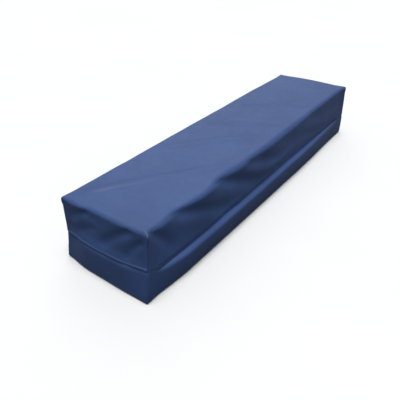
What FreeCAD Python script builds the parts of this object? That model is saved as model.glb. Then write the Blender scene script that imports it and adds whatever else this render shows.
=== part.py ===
"""Floor-level practice horse: a foam block in a sewn vinyl cover with a zip along its rear side.

The block lies along X. The near end faces -X, the front side -Y and the zipped rear side +Y.
The origin is the middle of the base, on the floor, and +Z is up. Sizes are in millimetres.
"""

import FreeCAD, Part
import os
import re
import sys

import Sketcher

# Driving dimensions: alias, value, what it is.
DIMENSIONS = [
    ("block_length", 1200, "outer length of the covered block"),
    ("block_width", 300, "outer width"),
    ("block_height", 200, "outer height"),
    ("skin", 1, "thickness of the coated cloth"),
    ("fold_radius", 10, "outer radius where the top folds over the block's edges"),
    ("seam_height", 85, "height of the skirt's lower edge and of the zip's centreline"),
    ("lap", 14, "depth of each hem, and of the lap of the skirt over the bands"),
    ("base_thick", 1.5, "thickness of the non-slip base"),
    ("allowance", 12, "seam allowance turned in over the base"),
    ("foam_gap", 5, "from the outer size of the cover to the foam, on each side"),
    ("foam_head_gap", 1.5, "from the top of the cover to the foam"),
    ("base_layer_top", 90, "top of the firm foam layer"),
    ("core_layer_top", 170, "top of the medium foam layer"),
    ("foam_radius", 8, "rounding of the top foam layer's upper edges"),
    ("zip_opening", 16, "height of the gap between the two hems at the zip"),
    ("tape_length", 1140, "length of the zip tapes"),
    ("tape_width", 16.25, "width of one zip tape"),
    ("tape_thick", 0.8, "thickness of a zip tape"),
    ("chain_length", 1106, "length of the zip's coils"),
    ("coil_width", 3.4, "width of one coil"),
    ("coil_rise", 2.8, "how far a coil stands off its tape"),
    ("coil_round", 1, "rounding of a coil's outer edges"),
    ("chain_slit", 1.5, "gap between the two coils, where the slider's post runs"),
    ("top_stop_length", 3, "length of a top stop"),
    ("bottom_stop_length", 6, "length of the bottom stop"),
    ("stop_rise", 3.2, "how far a stop stands off the tapes"),
    ("stop_width", 12, "width of the bottom stop, across both coils"),
    ("slider_rest", -543, "place of the slider along X with the zip closed"),
    ("slider_length", 18, "length of the slider"),
    ("nose_width", 13.4, "width of the slider's nose"),
    ("tail_width", 12, "width of the slider's tail"),
    ("nose_chamfer", 3, "corner taken off the slider's nose"),
    ("plate", 1.4, "thickness of the slider's plates and side flanges"),
    ("running_gap", 0.3, "clearance between the slider and what it runs on"),
    ("post_width", 0.9, "width of the post that joins the slider's plates"),
    ("post_length", 5, "length of the post"),
    ("bridge_length", 12, "length of the bridge on the slider"),
    ("bridge_width", 3, "width of the bridge"),
    ("bridge_rise", 4, "height of the bridge"),
    ("bridge_thick", 1.2, "thickness of the bridge"),
    ("bridge_round", 2, "rounding of the bridge's shoulders"),
    ("tab_pin", 1.6, "diameter of the pull tab's pin, and thickness of the tab"),
    ("pin_round", 0.75, "rounding of the pin"),
    ("tab_length", 34, "from the pin's axis to the end of the pull tab"),
    ("tab_width", 9, "width of the pull tab"),
    ("tab_window", 8, "length of the window that clears the bridge"),
    ("tab_window_width", 4, "width of that window"),
    ("tab_hole", 4, "diameter of the hole at the tab's end"),
    ("tab_hole_inset", 5, "from the tab's end to the middle of that hole"),
    ("tab_round", 4, "rounding of the pull tab's end"),
    ("patch_length", 26, "length of the patch over each end of the zip"),
    ("patch_inset", 12, "from the end of the front and rear bands to a patch"),
    ("stitch_pitch", 8, "spacing of the stitches"),
    ("stitch_length", 5.5, "length of thread that shows in each stitch"),
    ("stitch_width", 0.9, "width of the thread"),
    ("stitch_rise", 0.4, "how far the thread stands off the cloth"),
    ("stitch_inset", 10, "from the edge of the skirt to its row of stitches"),
    ("zip_stitch_inset", 3, "from the edge of a hem to its row of zip stitches"),
]

# Places that several pieces share, as expressions of the dimensions.
HALF_LENGTH = "block_length / 2"
HALF_WIDTH = "block_width / 2"
BAND_X = f"{HALF_LENGTH} - 2 * skin"  # outer face of the end bands, behind the hem
BAND_Y = f"{HALF_WIDTH} - 2 * skin"  # outer face of the front band, behind the hem
INSIDE_X = f"{HALF_LENGTH} - 3 * skin"  # inner face of the end bands
HEM_Y = f"{HALF_WIDTH} - skin"  # between the two layers of a rear hem
TAPE_Y = f"{HALF_WIDTH} - 2 * skin"  # outer face of the zip tapes, against the rear hems
LAP_TOP = "seam_height + lap"
ZIP_TOP = "seam_height + zip_opening / 2"
ZIP_BOTTOM = "seam_height - zip_opening / 2"
HALF_CHAIN = "chain_length / 2"
FLANGE_TOP = "base_thick + skin"
PATCH_START = f"{BAND_X} - patch_inset - patch_length"

SAME_PLACE = 0.01  # two places nearer than this count as one

doc = FreeCAD.newDocument("practice_horse")
sheet = doc.addObject("Spreadsheet::Sheet", "Dims")
for row, (alias, value, meaning) in enumerate(DIMENSIONS, start=1):
    sheet.set(f"A{row}", str(value))
    sheet.setAlias(f"A{row}", alias)
    sheet.set(f"B{row}", meaning)
doc.recompute()

subparts = []


def bound(expression):
    """The expression with each dimension's alias read from the sheet."""
    return re.sub(r"[a-z][a-z_]*", lambda name: f"Dims.{name[0]}", expression)


def size(expression):
    """The expression's value, in millimetres."""
    return float(sheet.evalExpression(bound(expression)))


def subpart(piece, label):
    """Names a finished piece, so that it is checked and exported."""
    piece.Label = label
    subparts.append(piece)
    return piece


def box(name, x, y, z):
    """A block between pairs of expressions along each axis."""
    piece = doc.addObject("Part::Box", name)
    for side, axis, (low, high) in (("Length", "x", x), ("Width", "y", y), ("Height", "z", z)):
        piece.setExpression(side, bound(f"({high}) - ({low})"))
        piece.setExpression(f"Placement.Base.{axis}", bound(low))
    return piece


def fuse(name, *pieces):
    joined = doc.addObject("Part::MultiFuse", name)
    joined.Shapes = list(pieces)
    return joined


def cut(name, base, tool):
    left = doc.addObject("Part::Cut", name)
    left.Base, left.Tool = base, tool
    return left


def body(name, x="0", y="0", z="0"):
    """An empty PartDesign body whose origin stands at the given place."""
    made = doc.addObject("PartDesign::Body", name)
    for axis, place in (("x", x), ("y", y), ("z", z)):
        made.setExpression(f"Placement.Base.{axis}", bound(place))
    return made


def flat_sketch(owner, name, plane, lift="0"):
    """An empty sketch on one of the body's origin planes, moved along its normal by lift."""
    sketch = owner.newObject("Sketcher::SketchObject", name)
    support = next(f for f in owner.Origin.OriginFeatures if f.Role == plane)
    sketch.AttachmentSupport = (support, [""])
    sketch.MapMode = "FlatFace"
    sketch.setExpression("AttachmentOffset.Base.z", bound(lift))
    return sketch


def place_point(sketch, element, point, corner):
    """Ties a point of a sketch's element to a pair of expressions, from the sketch's origin."""
    for kind, expression in zip(("DistanceX", "DistanceY"), corner):
        rule = Sketcher.Constraint(kind, -1, 1, element, point, size(expression))
        index = sketch.addConstraint(rule)
        sketch.setExpression(f"Constraints[{index}]", bound(expression))


def polygon(owner, name, plane, corners, lift="0"):
    """A closed outline. Each corner is a pair of expressions, so it follows the sheet."""
    sketch = flat_sketch(owner, name, plane, lift)
    points = [FreeCAD.Vector(size(u), size(v), 0) for u, v in corners]
    count = len(points)
    for i in range(count):
        sketch.addGeometry(Part.LineSegment(points[i], points[(i + 1) % count]), False)
    for i in range(count):
        sketch.addConstraint(Sketcher.Constraint("Coincident", i, 2, (i + 1) % count, 1))
    for i, corner in enumerate(corners):
        place_point(sketch, i, 1, corner)
    return sketch


def circle(owner, name, plane, centre, diameter):
    """A circle about a pair of expressions."""
    sketch = flat_sketch(owner, name, plane)
    middle = FreeCAD.Vector(size(centre[0]), size(centre[1]), 0)
    axis = FreeCAD.Vector(0, 0, 1)
    sketch.addGeometry(Part.Circle(middle, axis, size(diameter) / 2), False)
    place_point(sketch, 0, 3, centre)
    index = sketch.addConstraint(Sketcher.Constraint("Diameter", 0, size(diameter)))
    sketch.setExpression(f"Constraints[{index}]", bound(diameter))
    return sketch


def rectangle(u, v):
    """The four corners between two pairs of expressions."""
    return [(u[0], v[0]), (u[1], v[0]), (u[1], v[1]), (u[0], v[1])]


def pad(owner, sketch, length, centred=False):
    made = owner.newObject("PartDesign::Pad", f"{sketch.Name}_pad")
    made.Profile = sketch
    made.setExpression("Length", bound(length))
    made.Midplane = centred
    doc.recompute()
    return made


def pocket_through(owner, sketch):
    """Cuts the sketch through the whole body, to both sides."""
    before = owner.Shape.Volume
    made = owner.newObject("PartDesign::Pocket", f"{sketch.Name}_pocket")
    made.Profile = sketch
    made.Type = "ThroughAll"
    made.Midplane = True
    doc.recompute()
    if owner.Shape.Volume >= before:
        sys.exit(f"{made.Name} cuts nothing")
    return made


def fillet(owner, feature, radius, wanted):
    """Rounds the edges of a feature that wanted, a test of an edge, accepts."""
    edges = [f"Edge{i}" for i, e in enumerate(feature.Shape.Edges, start=1) if wanted(e)]
    made = owner.newObject("PartDesign::Fillet", f"{feature.Name}_fillet")
    made.Base = (feature, edges)
    made.setExpression("Radius", bound(radius))
    doc.recompute()
    return made


def level(edge, axis, place):
    """True if the whole edge lies at one place along an axis, x, y or z."""
    low, high = (getattr(edge.BoundBox, axis.upper() + end) for end in ("Min", "Max"))
    return abs(low - place) < SAME_PLACE and abs(high - place) < SAME_PLACE


def runs_along(edge, axis):
    """True if the edge is parallel to an axis, x, y or z."""
    across = [getattr(edge.BoundBox, f"{name}Length") for name in "XYZ" if name != axis.upper()]
    return max(across) < SAME_PLACE


def covered_block(name, inset, bottom, top, radius):
    """A solid block with rounded upper edges, inset from the outer size of the cover."""
    owner = body(name)
    x, y = (f"{HALF_LENGTH} - {inset}", f"{HALF_WIDTH} - {inset}")
    outline = rectangle((f"-({x})", x), (f"-({y})", y))
    solid = pad(owner, polygon(owner, f"{name}_outline", "XY_Plane", outline, bottom),
                f"({top}) - ({bottom})")
    upper = size(top)
    fillet(owner, solid, radius, lambda edge: level(edge, "z", upper))
    return owner


def end_span(side, inner, outer):
    """The span along X from inner to outer, mirrored to the near end where side is '-'."""
    return (f"-({outer})", f"-({inner})") if side else (inner, outer)


def make_upper_cover():
    """One piece of cloth folded down over all four sides, with a turned-in hem."""
    outer = covered_block("cover_outside", "0", "seam_height", "block_height", "fold_radius")
    inner = covered_block("cover_inside", "skin", "seam_height", "block_height - skin",
                          "fold_radius - skin")
    shell = cut("cover_shell", outer, inner)
    hem_outside = box("hem_outside", (f"-({BAND_X} + skin)", f"{BAND_X} + skin"),
                      (f"-({BAND_Y} + skin)", HEM_Y), ("seam_height", LAP_TOP))
    hem_inside = box("hem_inside", (f"-({BAND_X})", BAND_X), (f"-({BAND_Y})", HEM_Y),
                     ("seam_height", LAP_TOP))
    hem = cut("lapped_hem", hem_outside, hem_inside)
    rear_hem = box("rear_hem", (f"-({INSIDE_X})", INSIDE_X), (TAPE_Y, HEM_Y),
                   (ZIP_TOP, f"{ZIP_TOP} + lap"))
    opening = box("zip_gap", (f"-({BAND_X} + skin)", f"{BAND_X} + skin"),
                  (HEM_Y, f"{HALF_WIDTH} + skin"), ("seam_height - skin", ZIP_TOP))
    whole = fuse("cover_with_hems", cut("cover_opened", shell, opening), hem, rear_hem)
    return subpart(whole, "upper_cover")


def make_bands():
    """The four upright bands of the lower cover, each with its allowance turned in."""
    flange_end = f"{INSIDE_X} - allowance"
    front_inner = f"{BAND_Y} - skin"
    front = body("front_band_body")
    profile = [
        (f"-({BAND_Y})", "0"), (f"-({front_inner})", "0"),
        (f"-({front_inner})", "base_thick"), (f"-({front_inner} - allowance)", "base_thick"),
        (f"-({front_inner} - allowance)", FLANGE_TOP), (f"-({front_inner})", FLANGE_TOP),
        (f"-({front_inner})", LAP_TOP), (f"-({BAND_Y})", LAP_TOP),
    ]
    pad(front, polygon(front, "front_profile", "YZ_Plane", profile), f"2 * ({INSIDE_X})", True)
    subpart(front, "front_band")

    rear = body("rear_band_body")
    profile = [
        (HALF_WIDTH, "0"), (HALF_WIDTH, ZIP_BOTTOM), (TAPE_Y, ZIP_BOTTOM),
        (TAPE_Y, f"{ZIP_BOTTOM} - lap"), (HEM_Y, f"{ZIP_BOTTOM} - lap"), (HEM_Y, FLANGE_TOP),
        (f"{HEM_Y} - allowance", FLANGE_TOP), (f"{HEM_Y} - allowance", "base_thick"),
        (HEM_Y, "base_thick"), (HEM_Y, "0"),
    ]
    pad(rear, polygon(rear, "rear_profile", "YZ_Plane", profile), f"2 * ({INSIDE_X})", True)
    subpart(rear, "rear_band")

    for label, side in (("near_end_band", "-"), ("far_end_band", "")):
        wall = box(f"{label}_wall", end_span(side, INSIDE_X, BAND_X), (f"-({BAND_Y})", HEM_Y),
                   ("0", LAP_TOP))
        turned = box(f"{label}_flange", end_span(side, flange_end, INSIDE_X),
                     (f"-({front_inner} - allowance)", f"{HEM_Y} - allowance"),
                     ("base_thick", FLANGE_TOP))
        subpart(fuse(f"{label}_fused", wall, turned), label)


def make_base():
    span = (f"-({INSIDE_X})", INSIDE_X)
    subpart(box("base_block", span, (f"-({BAND_Y} - skin)", HEM_Y), ("0", "base_thick")),
            "base_panel")


def make_foam():
    """Three bonded layers that fill the cover."""
    x, y = (f"{HALF_LENGTH} - foam_gap", f"{HALF_WIDTH} - foam_gap")
    sides = ((f"-({x})", x), (f"-({y})", y))
    subpart(box("firm_foam", *sides, (FLANGE_TOP, "base_layer_top")), "foam_base_layer")
    subpart(box("medium_foam", *sides, ("base_layer_top", "core_layer_top")), "foam_core_layer")
    subpart(covered_block("soft_foam", "foam_gap", "core_layer_top",
                          "block_height - foam_head_gap", "foam_radius"), "foam_top_layer")


def make_tapes():
    """The two tapes, sewn behind the rear hems, a slit apart."""
    span = ("-(tape_length / 2)", "tape_length / 2")
    depth = (f"{TAPE_Y} - tape_thick", TAPE_Y)
    inner = "seam_height + chain_slit / 2"
    subpart(box("tape_up", span, depth, (inner, f"{inner} + tape_width")), "zip_tape_upper")
    inner = "seam_height - chain_slit / 2"
    subpart(box("tape_down", span, depth, (f"{inner} - tape_width", inner)), "zip_tape_lower")


def make_coils():
    """A rounded bar for each coil, on the outer face of its tape."""
    for label, low in (("zip_coil_upper", "chain_slit / 2"),
                       ("zip_coil_lower", "-(chain_slit / 2 + coil_width)")):
        coil = body(f"{label}_body", y=TAPE_Y, z="seam_height")
        section = rectangle(("0", "coil_rise"), (low, f"{low} + coil_width"))
        bar = pad(coil, polygon(coil, f"{label}_section", "YZ_Plane", section),
                  "chain_length", True)
        crest = size("coil_rise")
        fillet(coil, bar, "coil_round",
               lambda edge: level(edge, "y", crest) and runs_along(edge, "x"))
        subpart(coil, label)


def make_stops():
    """Metal clamps that end the chain: two at its closed end, one across its open end."""
    depth = (TAPE_Y, f"{TAPE_Y} + stop_rise")
    span = (f"-({HALF_CHAIN} + top_stop_length)", f"-({HALF_CHAIN})")
    pair = [
        box("top_stop_a", span, depth, ("seam_height + chain_slit / 2",
                                        "seam_height + chain_slit / 2 + coil_width")),
        box("top_stop_b", span, depth, ("seam_height - chain_slit / 2 - coil_width",
                                        "seam_height - chain_slit / 2")),
    ]
    stops = doc.addObject("Part::Compound", "top_stop_pair")
    stops.Links = pair
    subpart(stops, "zip_top_stops")
    subpart(box("bottom_stop", (HALF_CHAIN, f"{HALF_CHAIN} + bottom_stop_length"), depth,
                ("seam_height - stop_width / 2", "seam_height + stop_width / 2")),
            "zip_bottom_stop")


def make_slider():
    """Two plates joined by a post at the nose, with side flanges and a bridge.

    Its origin is on the chain's centreline, at the outer face of the tapes.
    """
    owner = body("slider_body", "slider_rest", TAPE_Y, "seam_height")
    under = "tape_thick + running_gap"
    over = "coil_rise + running_gap"
    nose, tail = "-(slider_length / 2)", "slider_length / 2"
    plan = [
        (nose, "-(nose_width / 2 - nose_chamfer)"),
        (f"{nose} + nose_chamfer", "-(nose_width / 2)"), (tail, "-(tail_width / 2)"),
        (tail, "tail_width / 2"), (f"{nose} + nose_chamfer", "nose_width / 2"),
        (nose, "nose_width / 2 - nose_chamfer"),
    ]
    # The normal of the XZ plane points along -Y, so a lift of -y puts a sketch at y.
    pad(owner, polygon(owner, "inner_plate", "XZ_Plane", plan, under), "plate")
    post = rectangle((nose, f"{nose} + post_length"), ("-(post_width / 2)", "post_width / 2"))
    pad(owner, polygon(owner, "post", "XZ_Plane", post, f"-({over})"), f"{under} + {over}")
    pad(owner, polygon(owner, "outer_plate", "XZ_Plane", plan, f"-({over} + plate)"), "plate")
    for side in ("", "-"):
        flange = [
            (f"{nose} + nose_chamfer", f"{side}(nose_width / 2)"),
            (tail, f"{side}(tail_width / 2)"), (tail, f"{side}(tail_width / 2 - plate)"),
            (f"{nose} + nose_chamfer", f"{side}(nose_width / 2 - plate)"),
        ]
        name = "flange_down" if side else "flange_up"
        pad(owner, polygon(owner, name, "XZ_Plane", flange, f"-({over})"),
            f"{over} - running_gap")
    top, crest = f"{over} + plate", f"{over} + plate + bridge_rise"
    half = "bridge_length / 2"
    arch = [
        (f"-({half})", top), (f"-({half})", f"{crest} - bridge_round"),
        (f"-({half} - bridge_round)", crest), (f"{half} - bridge_round", crest),
        (half, f"{crest} - bridge_round"), (half, top), (f"{half} - bridge_thick", top),
        (f"{half} - bridge_thick", f"{crest} - bridge_round"),
        (f"{half} - bridge_round", f"{crest} - bridge_thick"),
        (f"-({half} - bridge_round)", f"{crest} - bridge_thick"),
        (f"-({half} - bridge_thick)", f"{crest} - bridge_round"),
        (f"-({half} - bridge_thick)", top),
    ]
    pad(owner, polygon(owner, "bridge", "XY_Plane", arch), "bridge_width", True)
    subpart(owner, "zip_slider")


def make_pull_tab():
    """A flat tab whose pin turns under the bridge. Its origin is the middle of the pin."""
    pin_lift = "coil_rise + running_gap + plate + (bridge_rise - bridge_thick) / 2"
    owner = body("tab_body", "slider_rest", f"{TAPE_Y} + {pin_lift}", "seam_height")
    across = ("-(tab_width / 2)", "tab_width / 2")
    outline = rectangle(("-(tab_pin / 2)", "tab_length"), across)
    plate = pad(owner, polygon(owner, "tab_outline", "XZ_Plane", outline), "tab_pin", True)
    end, start = size("tab_length"), size("-(tab_pin / 2)")
    rounded = fillet(owner, plate, "tab_round",
                     lambda edge: level(edge, "x", end) and runs_along(edge, "y"))
    fillet(owner, rounded, "pin_round",
           lambda edge: level(edge, "x", start) and runs_along(edge, "z"))
    window = rectangle(("tab_pin / 2", "tab_window"),
                       ("-(tab_window_width / 2)", "tab_window_width / 2"))
    pocket_through(owner, polygon(owner, "bridge_window", "XZ_Plane", window))
    centre = ("tab_length - tab_hole_inset", "0")
    pocket_through(owner, circle(owner, "end_hole", "XZ_Plane", centre, "tab_hole"))
    subpart(owner, "zip_pull_tab")


def make_patches():
    """A patch of cover cloth over each end of the zip, outside the hems."""
    for label, side in (("zip_patch_near", "-"), ("zip_patch_far", "")):
        span = end_span(side, PATCH_START, f"{BAND_X} - patch_inset")
        subpart(box(f"{label}_cloth", span, (HALF_WIDTH, f"{HALF_WIDTH} + skin"),
                    (f"{ZIP_BOTTOM} - lap", f"{ZIP_TOP} + lap")), label)


def stitch_places(low, high):
    """Where each stitch starts along a row, centred between low and high."""
    pitch, length = size("stitch_pitch"), size("stitch_length")
    count = int((high - low - length) // pitch) + 1
    first = (low + high - (count - 1) * pitch - length) / 2
    return [first + pitch * i for i in range(count)]


def stitch_row(start, along, outward, low, high):
    """Separate stitches from low to high along one axis, on a face at start."""
    up = FreeCAD.Vector(0, 0, 1)
    half = size("stitch_width") / 2
    length, rise = size("stitch_length"), size("stitch_rise")
    made = []
    for place in stitch_places(low, high):
        corner = start + along * place - up * half
        edge_points = [corner, corner + along * length, corner + along * length + up * 2 * half,
                       corner + up * 2 * half, corner]
        made.append(Part.Face(Part.makePolygon(edge_points)).extrude(outward * rise))
    return made


def stitching(label, rows):
    """One sub-part from several rows of separate stitches."""
    thread = doc.addObject("Part::Feature", f"{label}_thread")
    thread.Shape = Part.makeCompound([stitch for row in rows for stitch in row])
    subpart(thread, label)


def make_stitching():
    """The rows that show: along the skirt on the front and both ends, and along the zip."""
    x_axis, y_axis = FreeCAD.Vector(1, 0, 0), FreeCAD.Vector(0, 1, 0)
    half_length, half_width = size(HALF_LENGTH), size(HALF_WIDTH)
    margin = size("stitch_inset")
    height = size("seam_height + stitch_inset")
    rows = [stitch_row(FreeCAD.Vector(0, -half_width, height), x_axis, -y_axis,
                       margin - half_length, half_length - margin)]
    for side in (-1, 1):
        rows.append(stitch_row(FreeCAD.Vector(side * half_length, 0, height), y_axis,
                               x_axis * side, margin - half_width, half_width - margin))
    stitching("skirt_stitching", rows)
    reach = size(PATCH_START)
    for label, height in (("zip_stitching_upper", f"{ZIP_TOP} + zip_stitch_inset"),
                          ("zip_stitching_lower", f"{ZIP_BOTTOM} - zip_stitch_inset")):
        start = FreeCAD.Vector(0, half_width, size(height))
        stitching(label, [stitch_row(start, x_axis, y_axis, -reach, reach)])


def check(pieces):
    """Stops the script if anything in the document failed, or a sub-part isn't sound."""
    for item in doc.Objects:
        if {"Invalid", "Error"} & set(item.State):
            sys.exit(f"{item.Label} failed: {item.State}")
    for piece in pieces:
        shape = piece.Shape
        if shape.isNull() or not shape.isValid() or not shape.Solids:
            sys.exit(f"{piece.Label} is not a sound solid")
    labels = [piece.Label for piece in pieces]
    if len(set(labels)) != len(labels):
        sys.exit("two sub-parts share a label")


make_upper_cover()
make_bands()
make_base()
make_foam()
make_tapes()
make_coils()
make_stops()
make_slider()
make_pull_tab()
make_patches()
make_stitching()
doc.recompute()
check(subparts)
os.makedirs("parts", exist_ok=True)
for piece in subparts:
    piece.Shape.exportStep(os.path.join("parts", f"{piece.Label}.step"))
    print(f"{piece.Label:22s} solids {len(piece.Shape.Solids):4d}  "
          f"volume {piece.Shape.Volume / 1000:10.2f} cm3")
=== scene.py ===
"""The floor-level practice block: soft cover, foam, zip, materials and studio.

Metres throughout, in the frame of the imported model: the block lies along X, its near end
faces -X, its front -Y and its zipped rear +Y, and it stands on the floor at z = 0.
"""

import math

import bpy
import numpy as np
from mathutils import Matrix, Vector
from mathutils.bvhtree import BVHTree


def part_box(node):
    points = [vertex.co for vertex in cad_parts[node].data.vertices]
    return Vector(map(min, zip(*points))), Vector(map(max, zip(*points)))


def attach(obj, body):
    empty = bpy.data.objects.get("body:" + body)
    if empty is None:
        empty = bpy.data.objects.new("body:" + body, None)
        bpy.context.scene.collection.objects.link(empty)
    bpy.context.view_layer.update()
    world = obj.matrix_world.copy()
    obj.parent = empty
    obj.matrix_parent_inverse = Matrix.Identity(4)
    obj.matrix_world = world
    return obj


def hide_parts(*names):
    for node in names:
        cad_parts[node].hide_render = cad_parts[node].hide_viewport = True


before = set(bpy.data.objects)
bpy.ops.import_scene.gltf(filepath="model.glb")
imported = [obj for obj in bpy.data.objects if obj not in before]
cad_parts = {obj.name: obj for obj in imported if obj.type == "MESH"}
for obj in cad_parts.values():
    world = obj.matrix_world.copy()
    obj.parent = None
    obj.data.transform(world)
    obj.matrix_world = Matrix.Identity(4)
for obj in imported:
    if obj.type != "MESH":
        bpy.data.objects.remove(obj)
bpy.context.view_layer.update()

# Driving sizes, all read from the frame.
COVER_LOW, COVER_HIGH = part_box("upper_cover")
HALF_L = COVER_HIGH.x
HALF_W = COVER_HIGH.y
TOP = COVER_HIGH.z
SKIRT = COVER_LOW.z
BAND_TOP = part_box("rear_band")[1].z
ZIP_Z = (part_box("zip_coil_upper")[0].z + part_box("zip_coil_lower")[1].z) / 2
ZIP_TOP = 2 * ZIP_Z - BAND_TOP
PATCH_START, PATCH_END = (corner.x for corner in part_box("zip_patch_far"))

CORNER_POWER = 6  # how square the upright corners are; 2 would be round
SAME = 1e-6  # places nearer than this are one place
TINY = 1e-9  # keeps a division away from 0


def ease(value, low, high):
    """0 up to low, 1 from high on, and a smooth rise between."""
    t = np.clip((value - low) / (high - low), 0, 1)
    return t * t * (3 - 2 * t)


def at(value, place):
    """Whether each value is at the place, but for rounding."""
    return np.abs(value - place) < SAME


def bell(value, centre, width):
    """1 at the centre and near 0 from twice the width away from it."""
    return np.exp(-(((value - centre) / width) ** 2))


def curve(value, points, spread=0.012):
    """A smooth line through the given (place, height) points."""
    places, heights = zip(*points)
    shifts = np.linspace(-2, 2, 9)
    weights = np.exp(-(shifts**2) / 2)
    total = sum(w * np.interp(value + s * spread, places, heights) for s, w in zip(shifts, weights))
    return total / weights.sum()


# -------- the cover's shape

# Height of the seam between the skirt and the bands along each side.
NEAR_SEAM = [(-0.15, 0.0985), (-0.12, 0.095), (-0.09, 0.093), (-0.035, 0.091), (0.02, 0.089),
             (0.08, 0.09), (0.15, 0.088)]
FRONT_SEAM = [(-0.6, 0.0985), (-0.587, 0.087), (-0.565, 0.0785), (-0.54, 0.075), (-0.45, 0.0725),
              (-0.3, 0.0712), (-0.1, 0.0708), (0, 0.073), (0.1, 0.0755), (0.25, 0.074),
              (0.6, 0.0745)]
FAR_SEAM = [(-0.15, 0.075), (-0.05, 0.081), (0.05, 0.084), (0.15, 0.087)]
REAR_SEAM = [(0, 0.088)]

# Radius over which the top folds down along each side.
FRONT_FOLD = [(-0.6, 0.014), (-0.57, 0.017), (-0.47, 0.016), (-0.38, 0.014), (-0.28, 0.02),
              (-0.22, 0.016), (-0.1, 0.016), (0.1, 0.018), (0.25, 0.013), (0.57, 0.011), (0.6, 0.006)]
REAR_FOLD = [(-0.6, 0.004), (-0.57, 0.008), (0.57, 0.009), (0.6, 0.005)]
NEAR_FOLD = [(-0.15, 0.01), (0.06, 0.01), (0.085, 0.007), (0.11, 0.014), (0.13, 0.012), (0.15, 0.004)]
FAR_FOLD = [(-0.15, 0.005), (-0.12, 0.008), (0.12, 0.008), (0.15, 0.005)]

# How far the cloth draws the top edge in, along the front and the near end. The sides slope
# from there down to DRAWN_FROM.
FRONT_INSET = [(-0.6, 0.006), (-0.575, 0.014), (-0.525, 0.012), (-0.475, 0.016), (-0.42, 0.01),
               (-0.375, 0.003), (-0.325, 0.006), (-0.275, 0.016), (-0.22, 0.012), (-0.17, 0.005),
               (-0.08, 0.008), (-0.025, 0.004), (0.1, 0.006), (0.33, 0.01), (0.55, 0.009), (0.6, 0.001)]
NEAR_INSET = [(-0.15, 0.009), (0.06, 0.009), (0.08, 0.001), (0.15, 0)]
DRAWN_FROM = 0.085

# How far each side stands out from the plain block, by height.
REAR_LEAN = [(0, 0.002), (0.03, 0.003), (0.06, 0.001), (0.07, 0), (0.11, 0), (0.2, -0.003)]
NEAR_LEAN = [(0, 0.0185), (0.02, 0.0175), (0.08, 0.0145), (0.094, 0.013), (0.112, 0.006), (0.2, 0)]
FAR_LEAN = [(0, 0.003), (0.04, 0.002), (0.09, 0.002), (0.15, -0.002), (0.2, -0.006)]
# The same for the near end's two corners.
NEAR_FRONT_LEAN = [(0, 0.0165), (0.05, 0.008), (0.1, 0.001), (0.15, -0.004), (0.2, -0.008)]
NEAR_REAR_LEAN = [(0, 0.01), (0.04, 0.005), (0.07, 0.001), (0.1, -0.001), (0.2, -0.002)]

# The front band is full, like a roll. How far it stands out by depth below the seam, and how
# much of that there is along the block.
FRONT_ROLL = [(-0.002, 0), (0, 0.0078), (0.003, 0.0106), (0.007, 0.0121), (0.012, 0.0127),
              (0.02, 0.0127), (0.04, 0.0116), (0.085, 0.0068)]
FRONT_ROLL_SHARE = [(-0.6, 0), (-0.555, 0), (-0.52, 0.45), (-0.46, 0.95), (0.2, 1),
                    (0.3, 0.85), (0.4, 0.5), (0.48, 0.25), (0.6, 0.1)]
# The rear band stands out at the floor near the near end.
REAR_ROLL = [(0, 1), (0.01, 1), (0.05, 0)]
REAR_ROLL_SHARE = [(-0.6, 0.004), (-0.5, 0.002), (0, 0)]
ROLL_SPREAD = 0.002  # smoothing of the rolls' shapes, over their height
NEAR_INSET_SPREAD = 0.006  # smoothing of NEAR_INSET, which changes quickly

# Across the near end, from where to where its lean becomes the one of each corner.
TO_FRONT_CORNER = (0.05, HALF_W)
TO_REAR_CORNER = (0.06, HALF_W)

# The top's far front corner stands up and its far rear corner hangs down by this much. It starts
# this far along and this far up the block.
FAR_RISE = 0.0025
RISE_FROM_X, RISE_FROM_Z = 0.3, 0.12

# Along the front, from where to where the lower band comes to roll over the skirt, and from
# where to where that ends.
TUCK_START = (-0.575, -0.535)
TUCK_END = (0.5, 0.56)

FOLD_START, FOLD_END = (-0.12, 0.1), (0.75, 1.15)  # shares of its length where a fold rises and ends
FOLD_BOW = 0.006  # how far the middle of a fold is off its line
FOLD_WIDTHS = (0.75, 0.5)  # share of its half width where it starts, and the growth to its end
CORNER_CALM = 0.02  # folds die away over this length beside an upright corner
# Folds in the cloth. Each is a line on a side's cloth laid flat, from one (along, down) place to
# another: along is the place along the side and down is measured from the top edge, so the top
# has negative places. Then come its height, less than 0 in a valley, and its half width.
FRONT_FOLDS = [
    (-0.59, 0, -0.5, 0.1, -0.0045, 0.015),
    (-0.5, 0.002, -0.225, 0.122, -0.005, 0.019),
    (-0.31, 0.002, -0.08, 0.108, -0.005, 0.019),
    (-0.15, 0.012, 0.05, 0.086, -0.0032, 0.019),
    (0.06, 0.02, 0.17, 0.07, -0.001, 0.02),
    (0.27, 0.012, 0.4, 0.07, -0.0008, 0.02),
    # Across the top.
    (-0.545, -0.262, -0.235, -0.036, 0.0058, 0.016),
    (-0.225, -0.262, -0.002, -0.05, 0.006, 0.016),
    (-0.01, -0.262, 0.095, -0.055, 0.0054, 0.016),
    (0.2, -0.255, 0.288, -0.06, 0.005, 0.016),
]
REAR_FOLDS = [
    (-0.56, 0.016, -0.4, 0.085, -0.003, 0.018),
    (-0.37, 0.014, -0.18, 0.088, -0.0035, 0.02),
    (-0.13, 0.016, 0.06, 0.08, -0.003, 0.02),
    (0.11, 0.014, 0.3, 0.086, -0.0035, 0.02),
    (0.35, 0.018, 0.52, 0.082, -0.0028, 0.018),
]
NEAR_FOLDS = [
    (-0.092, 0.014, 0.01, 0.092, -0.0042, 0.014),
    (-0.13, 0.03, -0.075, 0.1, -0.0034, 0.013),
    (0.058, 0.018, 0.125, 0.054, -0.0028, 0.012),
    (0.03, 0.05, 0.11, 0.1, -0.0018, 0.014),
]
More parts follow.
